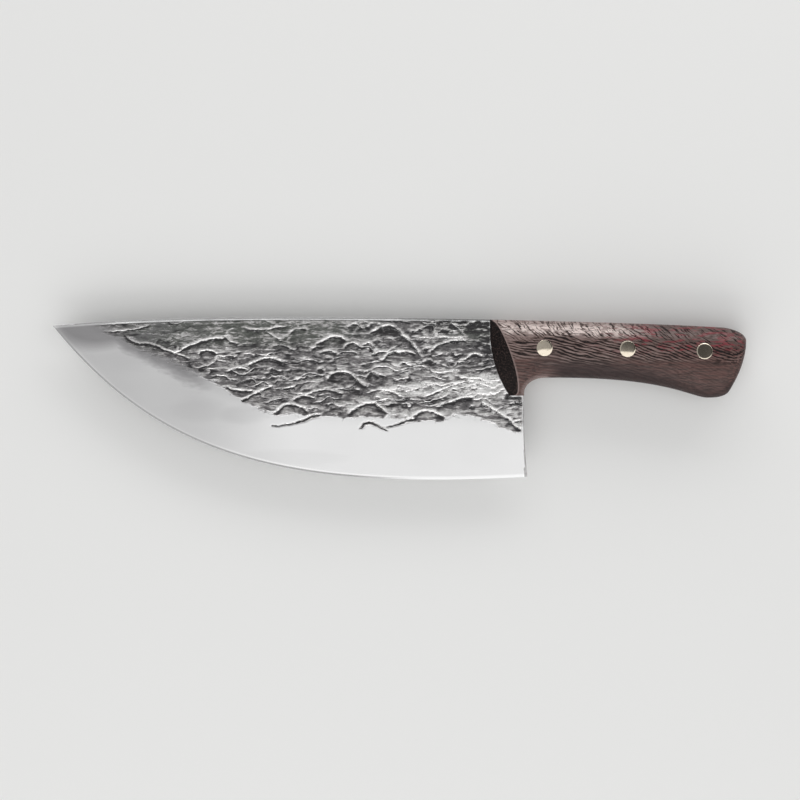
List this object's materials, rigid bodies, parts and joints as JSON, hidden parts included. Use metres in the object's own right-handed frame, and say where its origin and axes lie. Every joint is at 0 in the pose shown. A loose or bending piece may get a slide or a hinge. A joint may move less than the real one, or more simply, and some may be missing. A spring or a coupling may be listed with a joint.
{
  "type": "butcher knife",
  "caption": "Forged butcher's knife: broad upswept blade with hammered flats and a ground bevel, full tang, crowned wooden scales held by flush brass rivets.",
  "frame": {"origin": "bottom centre of the bounding box, with the knife lying on its right side", "axes": "+X from the tip to the butt, +Y from the cutting edge to the spine, +Z out of the left side of the blade"},
  "size_m": [0.305, 0.0714, 0.021],
  "materials": {
    "steel": "hammered and darkened flats, polished ground bevel",
    "left_wood": "satin oiled wenge",
    "right_wood": "satin oiled wenge",
    "rivet_brass": "polished flush with the wood"
  },
  "bodies": {
    "root": {"blade": "steel", "left_scale": "left_wood", "right_scale": "right_wood", "front_rivet_female": "rivet_brass", "front_rivet_male": "rivet_brass", "middle_rivet_female": "rivet_brass", "middle_rivet_male": "rivet_brass", "rear_rivet_female": "rivet_brass", "rear_rivet_male": "rivet_brass"}
  },
  "joints": []
}
